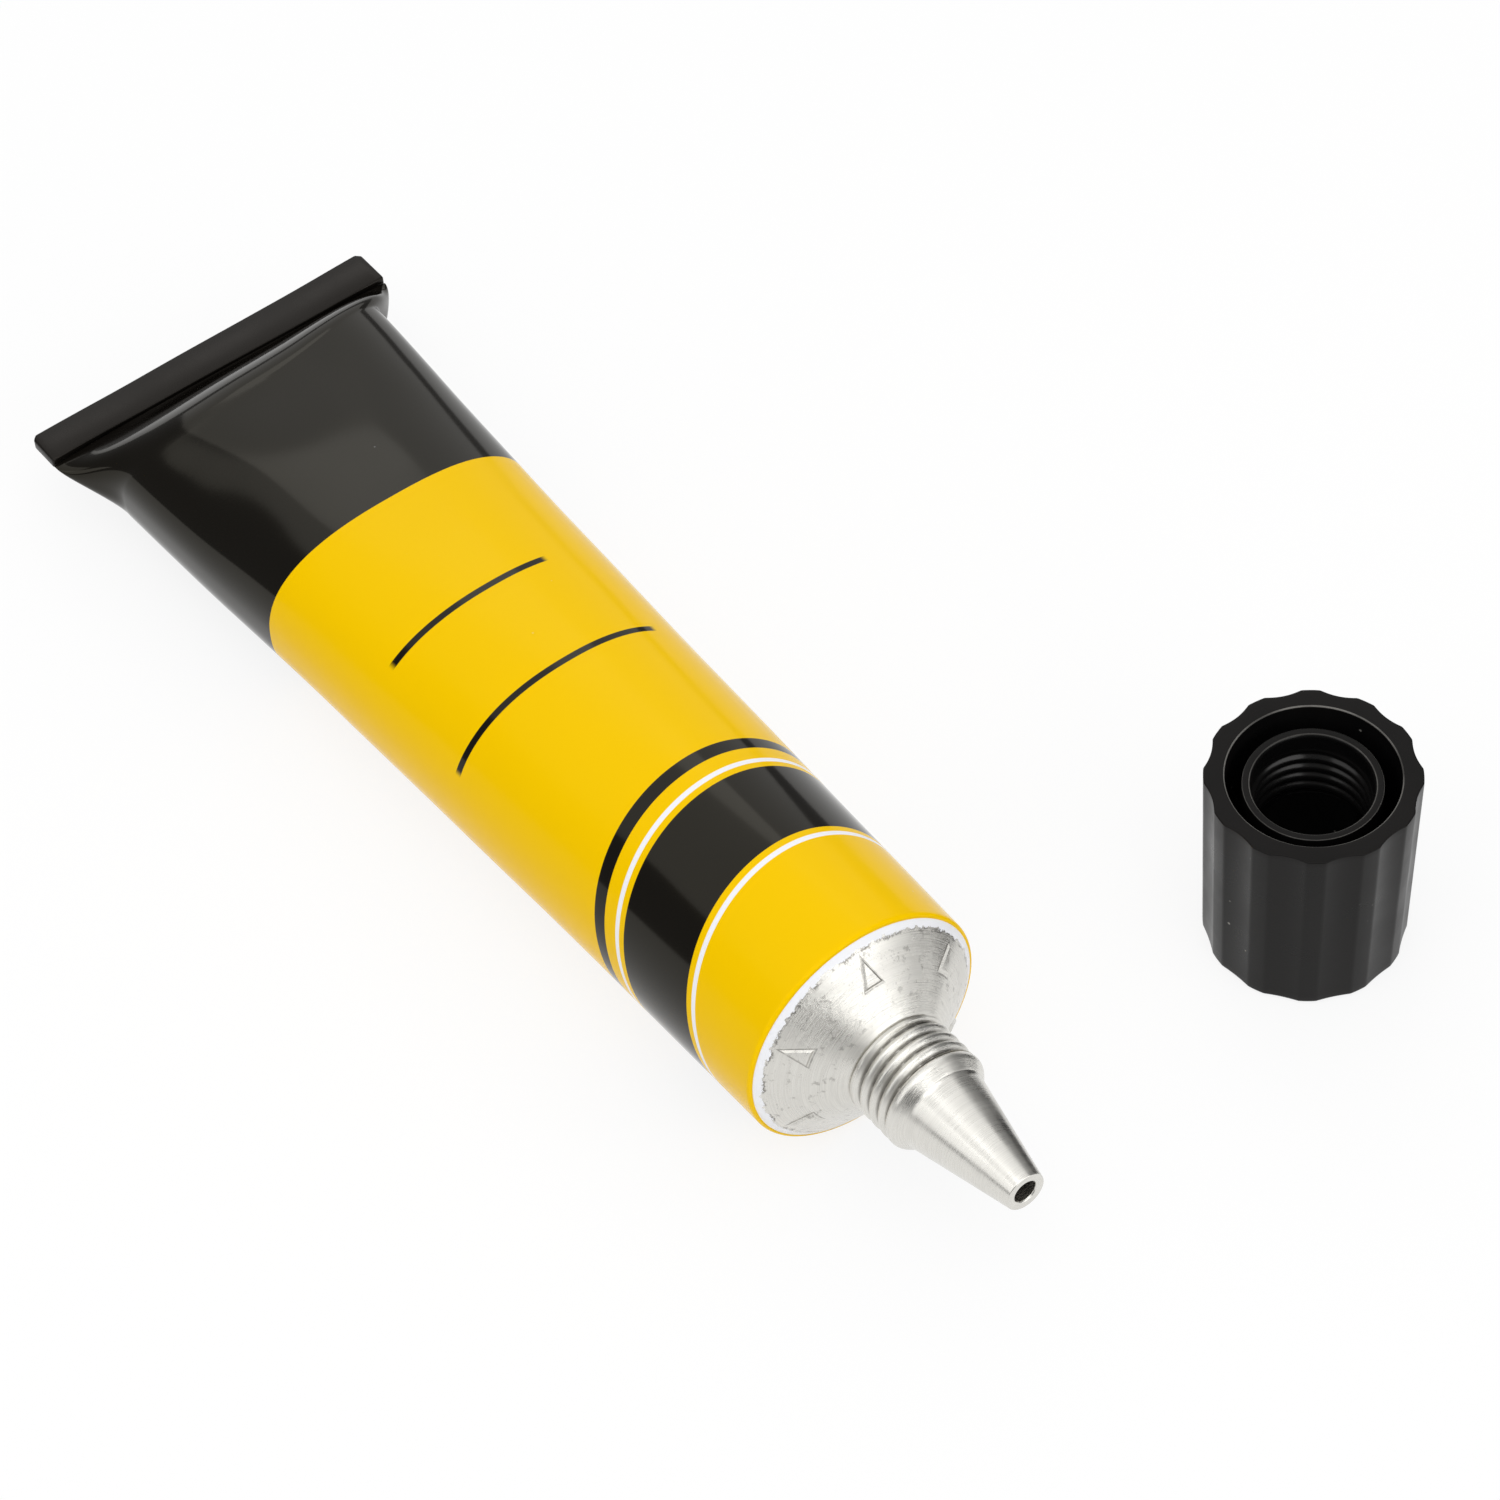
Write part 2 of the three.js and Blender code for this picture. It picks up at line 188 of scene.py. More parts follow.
# place on the tube in mm: distance behind the shoulder, radius and angle round the axis
tubeCoords, _, goOut = newGroup("tubeCoords", {}, ["Back", "Radius", "Angle"])
where = addNode(tubeCoords, "ShaderNodeTexCoord").outputs["Object"]
onTube = addNode(tubeCoords, "ShaderNodeMapping", {
    "Vector": where,
    "Location": tuple(v * mm for v in tubePlace.translation),
    "Rotation": (0, -tubeSpot["tilt"], 0),
    "Scale": (mm, mm, mm),
}, vector_type="TEXTURE").outputs["Vector"]
split = addNode(tubeCoords, "ShaderNodeSeparateXYZ", {"Vector": onTube})
flat = addNode(tubeCoords, "ShaderNodeCombineXYZ", {"Y": split.outputs["Y"], "Z": split.outputs["Z"]}).outputs[0]
reach = addNode(tubeCoords, "ShaderNodeVectorMath", {0: flat}, operation="LENGTH").outputs["Value"]
around = calc(tubeCoords, "ARCTAN2", split.outputs["Z"], split.outputs["Y"])
tubeCoords.links.new(calc(tubeCoords, "MULTIPLY", split.outputs["X"], -1.0), goOut.inputs["Back"])
tubeCoords.links.new(reach, goOut.inputs["Radius"])
tubeCoords.links.new(around, goOut.inputs["Angle"])

# place on the cap in mm: height and radius
capCoords, _, goOut = newGroup("capCoords", {}, ["Height", "Radius"])
where = addNode(capCoords, "ShaderNodeTexCoord").outputs["Object"]
onCap = addNode(capCoords, "ShaderNodeMapping", {
    "Vector": where, "Location": tuple(v * mm for v in capPlace.translation), "Scale": (mm, mm, mm),
}, vector_type="TEXTURE").outputs["Vector"]
split = addNode(capCoords, "ShaderNodeSeparateXYZ", {"Vector": onCap})
flat = addNode(capCoords, "ShaderNodeCombineXYZ", {"X": split.outputs["X"], "Y": split.outputs["Y"]}).outputs[0]
reach = addNode(capCoords, "ShaderNodeVectorMath", {0: flat}, operation="LENGTH").outputs["Value"]
capCoords.links.new(split.outputs["Z"], goOut.inputs["Height"])
capCoords.links.new(reach, goOut.inputs["Radius"])

# fine uneven surface: a height for bump and a slow variation for gloss
fineSkin, goIn, goOut = newGroup("fineSkin", {"Grain": 4000.0, "Patch": 90.0}, ["Height", "Patches"])
where = addNode(fineSkin, "ShaderNodeTexCoord").outputs["Object"]
grain = addNode(fineSkin, "ShaderNodeTexNoise", {"Vector": where, "Scale": goIn.outputs["Grain"], "Detail": 3.0})
patch = addNode(fineSkin, "ShaderNodeTexNoise", {"Vector": where, "Scale": goIn.outputs["Patch"], "Detail": 4.0})
fineSkin.links.new(grain.outputs["Fac"], goOut.inputs["Height"])
fineSkin.links.new(patch.outputs["Fac"], goOut.inputs["Patches"])

# sparse pale dust
dust, goIn, goOut = newGroup("dust", {"Spacing": 500.0, "Size": 0.05, "Share": 0.05}, ["Mask"])
where = addNode(dust, "ShaderNodeTexCoord").outputs["Object"]
cells = addNode(dust, "ShaderNodeTexVoronoi", {"Vector": where, "Scale": goIn.outputs["Spacing"]})
pick = addNode(dust, "ShaderNodeSeparateColor", {"Color": cells.outputs["Color"]}).outputs["Red"]
chosen = calc(dust, "LESS_THAN", pick, goIn.outputs["Share"])
near = ramp(dust, cells.outputs["Distance"], goIn.outputs["Size"], calc(dust, "MULTIPLY", goIn.outputs["Size"], 0.5))
dust.links.new(calc(dust, "MULTIPLY", chosen, near), goOut.inputs["Mask"])


# printed sleeve, in mm
sleeve = {
    "bodyLength": 98.0, "crushLength": 5.2, "crushSkew": 0.35, "spread": 3.7, "sag": 0.3, "squareness": 2.7,
    "squarePower": 1.5, "topCrush": 0.55, "topPower": 1.5, "spreadPower": 1.5, "spreadSkew": 0.4, "fallStart": 2.2,
    "fallEnd": 1.6, "lip": 0.6, "foldRise": 1.3, "edgeRoll": 0.2, "edge": 0.4, "coneEnd": (5.0, 5.8),
    "printEnd": 12.15, "wall": 0.15, "reach": 0.22, "steps": 192, "fineLength": 8.0, "fineRows": 60,
    "dent": 0.07, "tailDent": 0.2, "tailFrom": 55.0, "dentLength": 15.0, "calmFront": 12.0, "calmTail": 5.0,
    "bulge": 0.6, "bulgeFrom": 66.0, "bulgeFull": 97.0, "bulgeEnd": 0.6, "bulgeFade": 2.5,
}
radius = tubeSpot["radius"]
flatHalfWidth = math.pi * radius / 2 - sleeve["edgeRoll"]
sleeveLength = sleeve["bodyLength"] + sleeve["crushLength"] + sleeve["reach"]


def girthOf(halfWidth, halfHeight, squareness):
    power = 2 / squareness
    ring = [(halfWidth * max(0, math.cos(a)) ** power, halfHeight * math.sin(a) ** power)
            for a in (math.pi / 2 * i / 60 for i in range(61))]
    return 4 * sum(math.dist(p, q) for p, q in zip(ring, ring[1:]))


sleeveGirth = girthOf(radius, radius, 2)


def halfHeightAt(halfWidth, squareness):
    # the sheet doesn't stretch, so a wider section is a lower one
    low, high = 0, 2 * radius
    for i in range(36):
        height = (low + high) / 2
        if girthOf(halfWidth, height, squareness) < sleeveGirth:
            low = height
        else:
            high = height
    return (low + high) / 2


layDrop = radius - halfHeightAt(radius + sleeve["spread"], sleeve["squareness"]) - sleeve["sag"]
bodySections = {}


def bodySection(back):
    key = round(back, 3)
    if key not in bodySections:
        along = back / sleeve["bodyLength"]
        halfWidth = radius + sleeve["spread"] * (0.6 * along + 0.4 * along ** 2)
        squareness = 2 + (sleeve["squareness"] - 2) * along ** sleeve["squarePower"]
        below = radius - along * layDrop
        bodySections[key] = (halfWidth, squareness, 2 * halfHeightAt(halfWidth, squareness) - below, below)
    return bodySections[key]


def sleevePoint(back, angle):
    side, top = math.cos(angle), math.sin(angle)
    # the crush is longer on the -Y side and on top
    crush = sleeve["crushLength"] * (1 - sleeve["crushSkew"] * side)
    crush *= 1 + sleeve["topCrush"] * max(0, top) ** sleeve["topPower"]
    start = sleeveLength - crush
    halfWidth, squareness, above, below = bodySection(max(0, min(back, start)))
    along = min(1, max(0, (back - start) / crush))
    fall = max(0, 1 - along ** sleeve["fallStart"]) ** sleeve["fallEnd"]
    late = sleeve["spreadPower"] * (1 - sleeve["spreadSkew"] * side)
    halfWidth += (flatHalfWidth - halfWidth) * math.sin(math.pi / 2 * along) ** late
    height = sleeve["lip"] + ((above if top > 0 else below) - sleeve["lip"]) * fall
    power = 2 / (squareness + (2 - squareness) * along)
    y = math.copysign(halfWidth * abs(side) ** power, side)
    z = math.copysign(height * abs(top) ** power, top) + sleeve["foldRise"] * (1 - fall)
    # slight unevenness of a thin metal sheet, none where it lies on the table or meets its neighbours
    left = sleeveLength - back
    calm = smoothStep(0, sleeve["calmFront"], back) * smoothStep(0, sleeve["calmTail"], left)
    calm *= smoothStep(-0.9, -0.4, top)
    depth = sleeve["dent"] + sleeve["tailDent"] * smoothStep(sleeve["tailFrom"], sleeve["bodyLength"], back)
    ripple = depth * calm * noise.noise(Vector((back / sleeve["dentLength"], 1.5 * side, 1.5 * top)))
    # fuller shoulder on the +Y side towards the tail
    full = smoothStep(sleeve["bulgeFrom"], sleeve["bulgeFull"], back)
    full *= smoothStep(0, sleeve["bulgeFade"], left - sleeve["bulgeEnd"])
    ripple += sleeve["bulge"] * full * smoothStep(-0.1, 0.5, top) * smoothStep(0.2, 0.8, side)
    return Vector((-back, y + ripple * side, z + ripple * top))


def makeSleeve(material):
    coneSlope = (radius - sleeve["edge"] - sleeve["coneEnd"][1]) / (sleeve["coneEnd"][0] - 0.1)
    edgeTurn = math.pi / 2 - math.atan(1 / coneSlope)
    rim = []
    for k in range(9):
        a = edgeTurn * (1 - k / 8)
        rim.append((sleeve["edge"] * math.sin(a), radius - sleeve["edge"] + sleeve["edge"] * math.cos(a)))
    ahead = rim[0][0] + (rim[0][1] - sleeve["printEnd"]) / coneSlope
    # rows of the mesh, closer behind the shoulder and finest over the crushed stretch
    stations = [-0.3 * k for k in range(1, 8)] + [-2.0 - 1.3 * k for k in range(1, 73)]
    fineFrom, rows = sleeve["fineLength"] - sleeveLength, sleeve["fineRows"]
    stations = [s for s in stations if s > fineFrom]
    stations += [-sleeveLength + sleeve["fineLength"] * (1 - k / rows) for k in range(rows + 1)]
    line = [Vector((ahead, sleeve["printEnd"], 0))] + [Vector((x, r, 0)) for x, r in rim]
    line += [Vector((s, radius, 0)) for s in stations]
    bm = bmesh.new()
    spinLine(bm, line, (1, 0, 0), sleeve["steps"])
    for v in bm.verts:
        if v.co.x < 0:
            v.co = sleevePoint(-v.co.x, math.atan2(v.co.z, v.co.y))
    piece = makePiece("sleeveSkin", bm, tubePlace, material, "tube", ["tube_sleeve"])
    wall = piece.modifiers.new("wall", "SOLIDIFY")
    wall.thickness = sleeve["wall"] * mm
    wall.offset = -1
    return piece


printDesign = {
    "blackFrom": 72.5,
    "bandMiddle": 13.5, "bandSwing": 4.0, "bandTurn": math.radians(75), "bandHalf": 4.6,
    "keyGap": 0.7, "keyWidth": 0.55, "pinOffset": 8.2, "pinHalf": 0.75,
    "rules": [(43.5, 101, 59), (56.2, 102, 45)], "ruleHalf": 0.36,
    "yellow": rgb(243, 196, 0), "black": rgb(13, 11, 9), "white": rgb(240, 240, 244),
    "sheen": (1, 0.82, 0.3, 1), "soft": 0.03, "blackCoat": 0.38, "rough": (0.14, 0.22), "blackRough": 0.65,
    "specks": {"Spacing": 420.0, "Size": 0.06, "Share": 0.05}, "speckShade": 0.12,
    "skin": {"Grain": 1500.0, "Patch": 60.0},
}


def sleeveLacquer():
    d = printDesign
    material, tree, shader = newMaterial("sleeveLacquer", **{"Specular IOR Level": 0.1, "Specular Tint": d["sheen"],
                                                              "Coat Roughness": 0.09})
    spot = useGroup(tree, tubeCoords)
    back, angle = spot.outputs["Back"], spot.outputs["Angle"]
    soft = d["soft"]

    def within(value, half):
        return ramp(tree, calc(tree, "ABSOLUTE", value), half + soft, half - soft)

    # wave of bands round the shoulder end
    swing = calc(tree, "MULTIPLY", calc(tree, "COSINE", calc(tree, "SUBTRACT", angle, d["bandTurn"])), d["bandSwing"])
    offset = calc(tree, "SUBTRACT", calc(tree, "SUBTRACT", back, d["bandMiddle"]), swing)
    band = within(offset, d["bandHalf"])
    keyAt = d["bandHalf"] + d["keyGap"] + d["keyWidth"] / 2
    key = within(calc(tree, "SUBTRACT", calc(tree, "ABSOLUTE", offset), keyAt), d["keyWidth"] / 2)
    pin = within(calc(tree, "SUBTRACT", offset, d["pinOffset"]), d["pinHalf"])
    dark = calc(tree, "MAXIMUM", band, pin)
    # two rules across the front
    for at, middle, span in d["rules"]:
        line = within(calc(tree, "SUBTRACT", back, at), d["ruleHalf"])
        aside = calc(tree, "SUBTRACT", angle, math.radians(middle))
        line = calc(tree, "MULTIPLY", line, within(aside, math.radians(span)))
        dark = calc(tree, "MAXIMUM", dark, line)
    dark = calc(tree, "MAXIMUM", dark, ramp(tree, back, d["blackFrom"] - soft, d["blackFrom"] + soft))
    colour = mixColour(tree, dark, d["yellow"], d["black"])
    colour = mixColour(tree, key, colour, d["white"])
    specks = useGroup(tree, dust, d["specks"])
    colour = mixColour(tree, calc(tree, "MULTIPLY", specks.outputs["Mask"], d["speckShade"]), colour, d["white"])
    tree.links.new(colour, shader.inputs["Base Color"])
    skin = useGroup(tree, fineSkin, d["skin"])
    rough = calc(tree, "MULTIPLY", patchy(tree, skin, *d["rough"]), ramp(tree, dark, 0, 1, 1.0, d["blackRough"]))
    tree.links.new(rough, shader.inputs["Roughness"])
    tree.links.new(calc(tree, "MULTIPLY", dark, d["blackCoat"]), shader.inputs["Coat Weight"])
    addBump(tree, shader, 0.05, 0.04, skin.outputs["Height"])
    return material


# bare head: shoulder, neck and nozzle, as (distance ahead, radius) in mm
head = {
    "coneTop": (0.45, 12.15), "coneEnd": (5.0, 5.75), "neckRoot": 4.72, "neckFrom": 5.35, "neckTo": 11.0,
    "crest": 5.3, "collarTo": 6.0, "nozzleFrom": (12.35, 4.42), "nozzleTip": (24.0, 2.0), "bore": 1.15,
    "neckBore": 3.4, "neckFoot": 4.2, "inside": ((0.25, 11.3), (0.2, 11.9)), "pitch": 1.3, "crestAt": 5.7,
    "crestAngle": math.radians(114), "step": 0.04, "steps": 288,
}
mark = {"count": 6, "turn": math.radians(31), "from": 11.0, "to": 8.35, "half": 1.08, "lift": 0.24, "top": 0.66,
        "soft": 0.03, "sunk": 0.1}


def addMark(bm, angle, foot, slope, normal):
    # low triangular wedge with sloping sides on the shoulder, pointing outwards
    out, aside = Vector((0, math.cos(angle), math.sin(angle))), Vector((0, -math.sin(angle), math.cos(angle)))
    up = Vector((normal.x, 0, 0)) + out * normal.y
    corners = []
    for r, offset in ((mark["from"], 0), (mark["to"], -mark["half"]), (mark["to"], mark["half"])):
        corners.append(Vector((foot.x + (foot.y - r) / slope, 0, 0)) + out * r + aside * offset)
    middle = sum(corners, Vector()) / 3
    face = bm.faces.new([bm.verts.new(p - up * mark["sunk"]) for p in corners])
    grown = bmesh.ops.extrude_face_region(bm, geom=[face])
    for v in [g for g in grown["geom"] if isinstance(g, bmesh.types.BMVert)]:
        v.co = middle + (v.co + up * mark["sunk"] - middle) * mark["top"] + up * mark["lift"]
    edges = [g for g in grown["geom"] if isinstance(g, bmesh.types.BMEdge)]
    bmesh.ops.bevel(bm, geom=edges, offset=mark["soft"], offset_type="OFFSET", affect="EDGES", segments=2,
                    profile=0.5, material=-1)


def makeHead(material):
    h = head
    top, end = Vector(h["coneTop"]), Vector(h["coneEnd"])
    cone = (end - top).normalized()
    normal = Vector((-cone.y, cone.x))
    slope = (top.y - end.y) / (end.x - top.x)
    start = top - normal * h["step"]
    outer = softLine([(start.x, start.y), (end.x, end.y, 0.1), (h["neckFrom"], h["crest"] - 0.02, 0.15),
                      (h["neckFrom"] + 0.25, h["neckRoot"])], 0.35)
    outer += softLine([(h["neckFrom"] + 0.25, h["neckRoot"]), (h["neckTo"] - 0.6, h["neckRoot"])], 0.06)[1:]
    outer += softLine([
        (h["neckTo"] - 0.6, h["neckRoot"], 0.1), (h["neckTo"] - 0.35, h["crest"], 0.3),
        (h["neckTo"] + 0.3, h["crest"], 0.6),
        (h["nozzleFrom"][0] - 0.12, h["nozzleFrom"][1] + 0.12, 0.12), h["nozzleFrom"],
    ], 0.12)[1:]
    outer += softLine([h["nozzleFrom"], (*h["nozzleTip"], 0.12), (h["nozzleTip"][0], h["bore"] + 0.12, 0.1),
                       (h["nozzleTip"][0] - 0.15, h["bore"], 0.08), (h["neckTo"] + 2, h["bore"])], 0.5)[1:]
    outer += softLine([(h["neckTo"] + 2, h["bore"]), (h["neckTo"], h["neckBore"]), (h["neckFoot"], h["neckBore"]),
                       *h["inside"]], 1.2)[1:]
    bm = bmesh.new()
    spinLine(bm, [Vector((p.x, p.y, 0)) for p in outer], (1, 0, 0), h["steps"], closed=True)
    for v in bm.verts:
        r, angle = math.hypot(v.co.y, v.co.z), math.atan2(v.co.z, v.co.y)
        if abs(r - h["neckRoot"]) < 0.02 and h["neckFrom"] < v.co.x < h["neckTo"]:
            # broad rounded right-handed thread between a collar and the front ring
            phase = (v.co.x - h["crestAt"]) / h["pitch"] - (angle - h["crestAngle"]) / turn
            ridge = (0.5 + 0.5 * math.cos(turn * phase)) ** 0.5
            ridge = max(ridge, smoothStep(h["collarTo"] + 0.15, h["collarTo"] - 0.1, v.co.x))
            grown = 1 + (h["crest"] - h["neckRoot"]) * ridge / r
            v.co.y *= grown
            v.co.z *= grown
    for k in range(mark["count"]):
        addMark(bm, mark["turn"] + turn * k / mark["count"], start, slope, normal)
    return makePiece("bareHead", bm, tubePlace, material, "tube", ["tube_head"], sharp=math.radians(42))


metal = {
    "dull": rgb(207, 205, 199), "bright": rgb(224, 222, 216), "paintedBright": rgb(236, 234, 228), "soilAndShade": rgb(92, 88, 82),
    "baseCoat": rgb(238, 239, 243), "coatFrom": 11.46, "coatSoft": 0.04, "ragged": 0.3, "scorchFrom": 11.16,
    "scorchTo": 11.44, "coarseAt": math.radians(136), "skin": {"Grain": 2600.0, "Patch": 220.0},
    "neck": (-5.6, -10.9), "nozzle": -12.2, "nozzleFade": 0.4, "leather": (7.6, 9.4),
}


def bareMetal():
    m = metal
    material, tree, shader = newMaterial("bareMetal", **{"Specular IOR Level": 0.3})
    spot = useGroup(tree, tubeCoords)
    back, reach, angle = spot.outputs["Back"], spot.outputs["Radius"], spot.outputs["Angle"]
    where = addNode(tree, "ShaderNodeTexCoord").outputs["Object"]
    # tool marks run round the axis
    ringWise = addNode(tree, "ShaderNodeCombineXYZ", {
        "X": calc(tree, "MULTIPLY", back, 5.0), "Y": calc(tree, "MULTIPLY", reach, 5.0),
        "Z": calc(tree, "MULTIPLY", calc(tree, "SINE", angle), 0.8)}).outputs[0]
    marks = addNode(tree, "ShaderNodeTexNoise", {"Vector": ringWise, "Scale": 2.2, "Detail": 5.0, "Roughness": 0.7})
    skin = useGroup(tree, fineSkin, m["skin"])
    # white base coat left along the shoulder edge, with a ragged inner edge
    ragged = addNode(tree, "ShaderNodeTexNoise", {"Vector": where, "Scale": 1100.0, "Detail": 6.0,
                                                  "Roughness": 0.72}).outputs["Fac"]
    edge = calc(tree, "ADD", reach, ramp(tree, ragged, 0.3, 0.7, -m["ragged"], m["ragged"], smooth=False))
    ahead = calc(tree, "LESS_THAN", back, -0.3)
    coat = calc(tree, "MULTIPLY", ramp(tree, edge, m["coatFrom"], m["coatFrom"] + m["coatSoft"]), ahead)
    scorch = calc(tree, "MULTIPLY", ramp(tree, edge, m["scorchFrom"], m["scorchTo"]),
                  calc(tree, "SUBTRACT", 1.0, coat))
    scorch = calc(tree, "MULTIPLY", scorch, ramp(tree, ragged, 0.44, 0.58))
    # painted shade in the roots of the thread
    onNeck = calc(tree, "MULTIPLY", calc(tree, "LESS_THAN", back, m["neck"][0]),
                  calc(tree, "GREATER_THAN", back, m["neck"][1]))
    root = calc(tree, "MULTIPLY", ramp(tree, reach, 5.06, 4.86), onNeck)
    soilAndShade = calc(tree, "MAXIMUM", calc(tree, "MULTIPLY", scorch, 0.8), calc(tree, "MULTIPLY", root, 0.55))
    # painted shade along the outlines of the raised marks, made patchy
    period = turn / mark["count"]
    swung = calc(tree, "WRAP", calc(tree, "SUBTRACT", angle, mark["turn"]), period / 2, -period / 2)
    aside = calc(tree, "ABSOLUTE", calc(tree, "MULTIPLY", swung, reach))
    depth = calc(tree, "SUBTRACT", mark["from"], reach)
    lean = mark["half"] / (mark["from"] - mark["to"])
    beyond = calc(tree, "MAXIMUM", calc(tree, "SUBTRACT", aside, calc(tree, "MULTIPLY", depth, lean)),
                  calc(tree, "SUBTRACT", mark["to"], reach))
    outline = calc(tree, "MULTIPLY", ramp(tree, calc(tree, "ABSOLUTE", beyond), 0.09, 0.03),
                   ramp(tree, ragged, 0.36, 0.56, 0.15, 0.6))
    soilAndShade = calc(tree, "MAXIMUM", soilAndShade, outline)
    # grey flecks over the shoulder
    flecks = calc(tree, "MULTIPLY", ramp(tree, ragged, 0.56, 0.66), ramp(tree, back, -5.2, -4.6, 0.0, 0.4))
    soilAndShade = calc(tree, "MAXIMUM", soilAndShade, flecks)
    worn = mixColour(tree, ramp(tree, marks.outputs["Fac"], 0.3, 0.7), m["dull"], m["bright"])
    # neck and nozzle painted a little lighter, a painted brightness for the light they reflect
    worn = mixColour(tree, ramp(tree, back, -5.0, -6.0, 0.0, 0.15), worn, m["paintedBright"])
    # one darker colour for the real scorch and flecks and for the painted shade in the thread roots and along the
    # marks
    worn = mixColour(tree, soilAndShade, worn, m["soilAndShade"])
    tree.links.new(mixColour(tree, coat, worn, m["baseCoat"]), shader.inputs["Base Color"])
    tree.links.new(calc(tree, "SUBTRACT", 1.0, coat), shader.inputs["Metallic"])
    rough = calc(tree, "ADD", ramp(tree, marks.outputs["Fac"], 0.25, 0.75, 0.18, 0.28),
                 ramp(tree, skin.outputs["Patches"], 0.35, 0.75, 0.0, 0.12))
    nozzleFull = m["nozzle"] - m["nozzleFade"]
    rough = calc(tree, "ADD", rough, ramp(tree, back, m["nozzle"], nozzleFull, 0.0, 0.02))
    tree.links.new(rough, shader.inputs["Roughness"])
    # leathery grain on the outer shoulder, coarsest in one patch
    off = calc(tree, "ABSOLUTE", calc(tree, "SUBTRACT", angle, m["coarseAt"]))
    patch = ramp(tree, off, 0.5, 0.12, 0.3, 1.3)
    leather = calc(tree, "MULTIPLY", ramp(tree, reach, *m["leather"]), patch)
    turned = calc(tree, "MULTIPLY", marks.outputs["Fac"], ramp(tree, back, nozzleFull, m["nozzle"], 0.15, 0.5))
    height = calc(tree, "ADD", turned, calc(tree, "MULTIPLY", ragged, calc(tree, "ADD", leather, 0.12)))
    addBump(tree, shader, 0.65, 0.08, height)
    return material


# folded tail, in mm
fold = {
    "depth": 4.0, "over": 0.8, "under": 0.4, "gap": 0.3, "corner": 0.5, "soft": 0.22, "slot": 3.1, "slotEnd": 2.6,
    "slotHalf": 0.24, "slotEdge": 0.3, "bow": 0.12, "bowLength": 9.0, "fan": 0.45, "cuts": 40,
    "sheen": (1, 0.92, 0.84, 1), "dust": rgb(200, 198, 194), "rough": (0.2, 0.32), "speckShade": 0.3,
    "specks": {"Spacing": 520.0, "Size": 0.06, "Share": 0.05}, "skin": {"Grain": 1800.0, "Patch": 140.0},
}


def makeFold(material):
    f = fold
    near = -(sleeveLength + f["gap"] - sleeve["reach"])
    bm = bmesh.new()
    bmesh.ops.create_cube(bm, size=1)
    bmesh.ops.scale(bm, vec=(f["depth"], 2 * flatHalfWidth, f["over"] + f["under"]), verts=bm.verts)
    middle = sleeve["foldRise"] + (f["over"] - f["under"]) / 2
    bmesh.ops.translate(bm, vec=(near - f["depth"] / 2, 0, middle), verts=bm.verts)
    # blind slot for the sealing strip in the face towards the sleeve
    bm.faces.ensure_lookup_table()
    face = max(bm.faces, key=lambda item: item.calc_center_median().x)
    bmesh.ops.inset_region(bm, faces=[face], thickness=f["slotEdge"], use_even_offset=True)
    for v in face.verts:
        v.co.y -= math.copysign(f["slotEnd"], v.co.y)
        v.co.z = sleeve["foldRise"] + math.copysign(f["slotHalf"], v.co.z - middle)
    grown = bmesh.ops.extrude_face_region(bm, geom=[face])
    inner = [g for g in grown["geom"] if isinstance(g, bmesh.types.BMVert)]
    bmesh.ops.delete(bm, geom=[face], context="FACES_ONLY")
    bmesh.ops.translate(bm, vec=(-f["slot"], 0, 0), verts=inner)
    # outer corners cut, then every outer edge softened
    far = near - f["depth"]
    upright = [e for e in bm.edges if all(abs(v.co.x - far) < 1e-4 for v in e.verts)
               and abs(e.verts[0].co.z - e.verts[1].co.z) > 0.5]
    bmesh.ops.bevel(bm, geom=upright, offset=f["corner"], offset_type="OFFSET", affect="EDGES", segments=1,
                    profile=0.5, material=-1)
    outside = [e for e in bm.edges if e.is_manifold and e.calc_face_angle(0) > 0.5
               and not any(v in inner for v in e.verts) and max(abs(v.co.y) for v in e.verts) > flatHalfWidth - 2]
    bmesh.ops.bevel(bm, geom=outside, offset=f["soft"], offset_type="OFFSET", affect="EDGES", segments=3, profile=0.5,
                    material=-1)
    # crosswise cuts so that the bar can bow a little
    for k in range(1, f["cuts"]):
        y = flatHalfWidth * (2 * k / f["cuts"] - 1)
        bmesh.ops.bisect_plane(bm, geom=bm.verts[:] + bm.edges[:] + bm.faces[:], plane_co=(0, y, 0),
                               plane_no=(0, 1, 0))
    for v in bm.verts:
        v.co.z += f["bow"] * noise.noise(Vector((v.co.y / f["bowLength"], 0.3, 0.7)))
        if v.co.x < near - f["depth"] / 2:
            v.co.x -= f["fan"] * (v.co.y / flatHalfWidth + 1) / 2
    return makePiece("tailFold", bm, tubePlace, material, "tube", ["tail_fold"],
                     sharp=math.radians(40))


def blackLacquer():
    f = fold
    material, tree, shader = newMaterial("blackLacquer", **{"Specular IOR Level": 0.22, "Specular Tint": f["sheen"]})
    skin = useGroup(tree, fineSkin, f["skin"])
    specks = useGroup(tree, dust, f["specks"])
    dusty = calc(tree, "MULTIPLY", specks.outputs["Mask"], f["speckShade"])
    tree.links.new(mixColour(tree, dusty, printDesign["black"], f["dust"]), shader.inputs["Base Color"])
    tree.links.new(patchy(tree, skin, *f["rough"]), shader.inputs["Roughness"])
    addBump(tree, shader, 0.12, 0.06, skin.outputs["Patches"])
    return material


